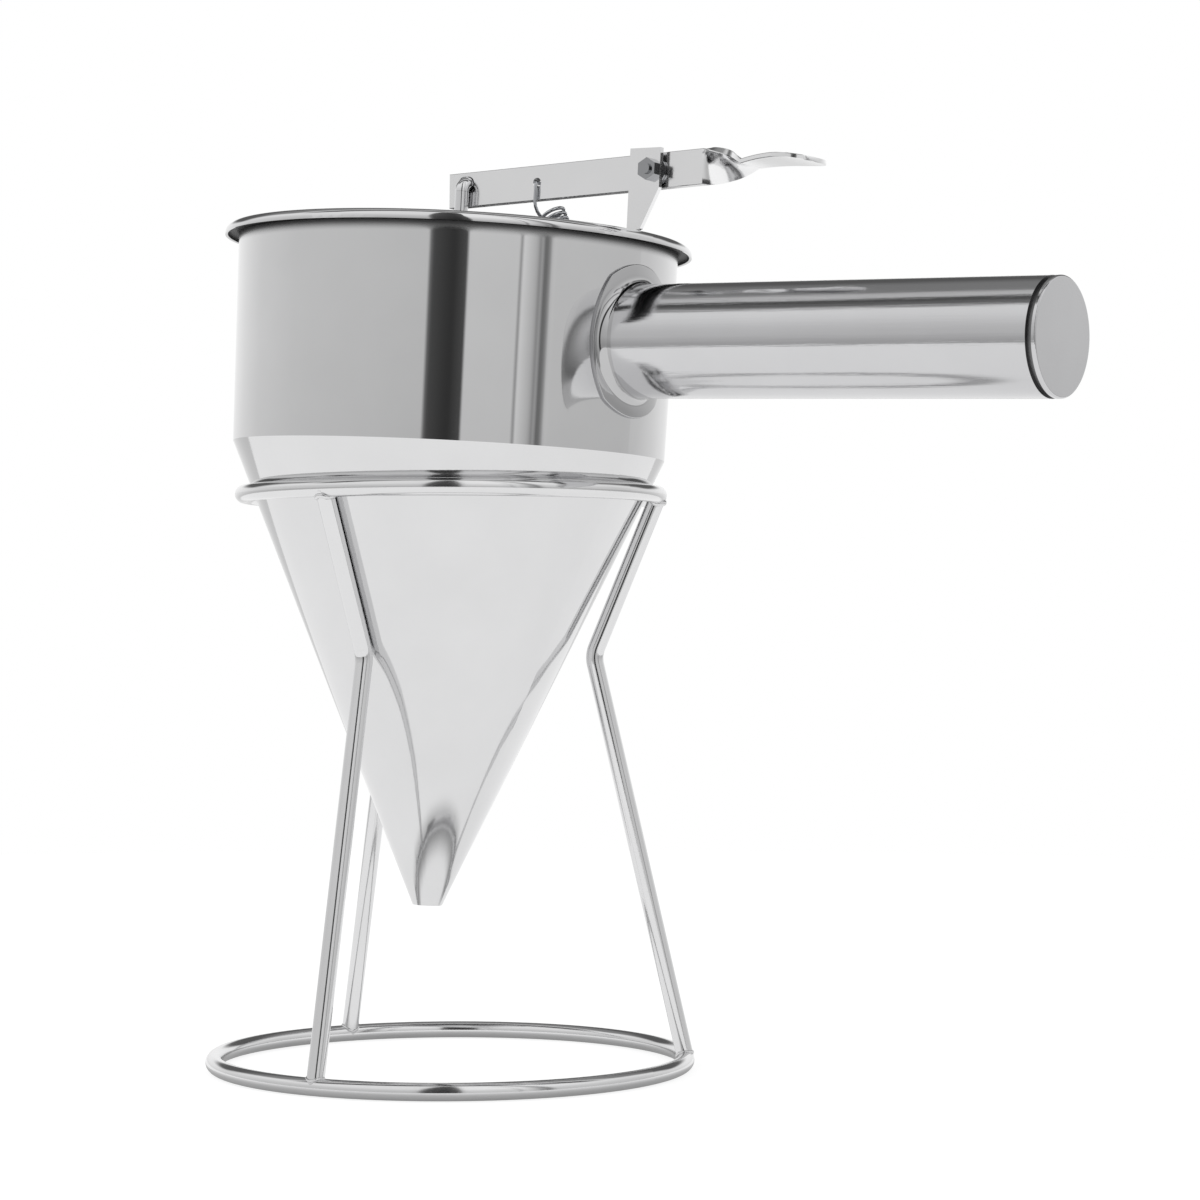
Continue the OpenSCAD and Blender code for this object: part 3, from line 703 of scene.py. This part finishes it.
def make_floor():
    ring = [Vector((FLOOR_R * math.cos(a), FLOOR_R * math.sin(a), -0.0002)) for a in circle(128)]
    material = bpy.data.materials.new("floor")
    material.use_nodes = True
    g = Graph(material.node_tree)
    diffuse = g.add("ShaderNodeBsdfDiffuse")
    diffuse.inputs["Color"].default_value = (0.95, 0.95, 0.95, 1)
    glow = g.add("ShaderNodeEmission")
    glow.inputs["Color"].default_value = (1, 1, 1, 1)
    path = g.add("ShaderNodeLightPath")
    seen = g.math("MAXIMUM", path.outputs["Is Camera Ray"], path.outputs["Is Glossy Ray"])
    seen = g.math("MAXIMUM", seen, path.outputs["Is Transmission Ray"])
    # In reflections the floor darkens beside the base ring's wire, which shades it there
    x, y, z = g.split(g.place())
    beside = g.math("ABSOLUTE", g.math("SUBTRACT", g.length(x, y), BASE_RING_R * MM))
    shade = between(g, beside, FLOOR_BESIDE, *FLOOR_SHADE, smooth=True)
    g.feed(glow.inputs["Strength"], g.mix(path.outputs["Is Glossy Ray"], FLOOR_GLOW, shade))
    mixer = g.add("ShaderNodeMixShader")
    g.feed(mixer.inputs[0], g.math("MULTIPLY", seen, FLOOR_SHARE))
    g.feed(mixer.inputs[1], diffuse.outputs[0])
    g.feed(mixer.inputs[2], glow.outputs[0])
    out = g.add("ShaderNodeOutputMaterial")
    g.feed(out.inputs["Surface"], mixer.outputs[0])
    plane = mesh_object("floor", ring, [tuple(range(len(ring)))], material, closed=False)


make_floor()


def by_degrees(g, value, table):
    """A level looked up in a table of (degrees, level)."""
    first, last = table[0][0], table[-1][0]
    return g.ramp(g.range(value, first, last),
                  [((a - first) / (last - first), level) for a, level in table])


def make_world():
    """White for the camera, a grey studio in reflections and an even light for the rest."""
    world = bpy.data.worlds.new("studio")
    scene.world = world
    world.use_nodes = True
    g = Graph(world.node_tree)
    way = g.add("ShaderNodeTexCoord").outputs["Generated"]
    z = g.split(way)[2]
    ahead = g.dot(way, tuple(TO_CAMERA))
    right = g.dot(way, tuple(TO_RIGHT))
    degrees = lambda radians: g.math("MULTIPLY", radians, 180 / math.pi)
    turn = degrees(g.math("ARCTAN2", right, ahead))
    rise = degrees(g.math("ARCSINE", z))
    over = degrees(g.math("ARCTAN2", z, ahead))

    # The wall dims toward the floor and brightens upward
    dim = g.range(rise, -7, 6, 0.74, 1.0)
    climb = g.range(rise, 6, 46, 1.0, 1.4, smooth=True)
    wall = g.math("MULTIPLY", by_degrees(g, turn, WALL), g.math("MULTIPLY", climb, dim))
    wall = g.math("MINIMUM", wall, 1.05)

    # The strips take over above the wall, and give way to it at both sides
    gate = g.math("MULTIPLY", g.range(rise, 12, 20, smooth=True), g.range(over, 77, 80))
    aside = g.math("ABSOLUTE", right)
    gate = g.math("MULTIPLY", gate, g.range(aside, 0.62, 0.80, 1.0, 0.0, smooth=True))
    level = g.mix(gate, wall, by_degrees(g, over, STRIPS))

    path = g.add("ShaderNodeLightPath")
    shiny = g.math("MAXIMUM", path.outputs["Is Glossy Ray"], path.outputs["Is Transmission Ray"])
    strength = g.mix(shiny, EVEN_LIGHT, level)
    strength = g.mix(path.outputs["Is Camera Ray"], strength, 1.0)
    background = g.add("ShaderNodeBackground")
    background.inputs["Color"].default_value = (1, 1, 1, 1)
    g.feed(background.inputs["Strength"], strength)
    out = g.add("ShaderNodeOutputWorld")
    g.feed(out.inputs["Surface"], background.outputs[0])


make_world()


def area_lamp(name, place, watts):
    """A square lamp aimed at the part, which itself isn't seen in reflections."""
    data = bpy.data.lights.new(name, "AREA")
    data.shape = "SQUARE"
    data.size = 1.4
    data.energy = watts
    lamp = bpy.data.objects.new(name, data)
    lamp.location = place
    lamp.rotation_mode = "QUATERNION"
    lamp.rotation_quaternion = (Vector(place) - Vector((0, 0, 0.12))).to_track_quat("Z", "Y")
    lamp.visible_glossy = False
    lamp.visible_camera = False
    scene.collection.objects.link(lamp)


area_lamp("key", (-0.9, -1.1, 1.6), 9)
area_lamp("fill", (1.3, -0.6, 1.2), 5)


def make_camera():
    data = bpy.data.cameras.new("camera")
    data.sensor_width = 36.0
    data.lens = LENS
    data.clip_start = 0.05
    data.clip_end = 60
    camera = bpy.data.objects.new("camera", data)
    right = LOOK.cross(Vector((0, 0, 1))).normalized()
    up = right.cross(LOOK)
    side = math.cos(ROLL) * right + math.sin(ROLL) * up
    top = -math.sin(ROLL) * right + math.cos(ROLL) * up
    camera.matrix_world = Matrix((
        (side.x, top.x, -LOOK.x, CAMERA.x),
        (side.y, top.y, -LOOK.y, CAMERA.y),
        (side.z, top.z, -LOOK.z, CAMERA.z),
        (0, 0, 0, 1)))
    scene.collection.objects.link(camera)
    scene.camera = camera


make_camera()
scene.view_settings.view_transform = "Standard"
